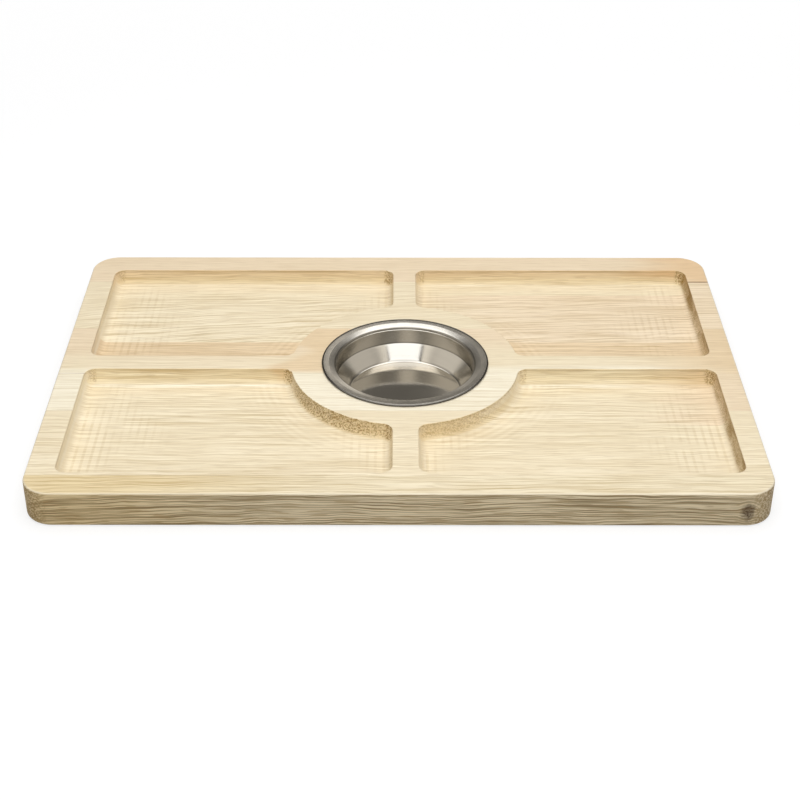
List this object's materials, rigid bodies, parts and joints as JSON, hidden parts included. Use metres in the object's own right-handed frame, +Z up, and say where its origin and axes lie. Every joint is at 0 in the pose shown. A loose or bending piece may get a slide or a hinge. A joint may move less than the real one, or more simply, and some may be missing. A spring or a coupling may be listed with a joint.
{
  "type": "wooden appetizer tray",
  "caption": "Flat rectangular wooden serving board with rounded corners, milled food pockets round a raised ring, and a lift-out steel dip cup hung by its flange in the ring.",
  "frame": {"origin": "middle of the board's underside, on the table", "axes": "+X to the right along the long side, +Y to the back, +Z up"},
  "size_m": [0.381, 0.254, 0.0213],
  "materials": {
    "golden_wood": "bare sanded hardwood, slightly golden",
    "pale_wood": "bare sanded hardwood, pale cream with fine long grain",
    "cream_wood": "bare sanded hardwood, the palest stave",
    "peach_wood": "bare sanded hardwood, pinkish",
    "satin_steel": "pressed stainless sheet, satin flange and wall, brighter floor"
  },
  "bodies": {
    "board": {"front_edge_stave": "golden_wood", "front_stave": "pale_wood", "cup_front_stave": "cream_wood", "centre_stave_left": "peach_wood", "centre_stave_right": "peach_wood", "back_stave": "pale_wood", "back_edge_stave": "peach_wood"},
    "cup": {"dip_cup": "satin_steel"}
  },
  "joints": [
    {"name": "cup_lift", "type": "slide", "parent": "board", "child": "cup", "axis": [0, 0, 1], "range_m": [0, 0.06]}
  ]
}
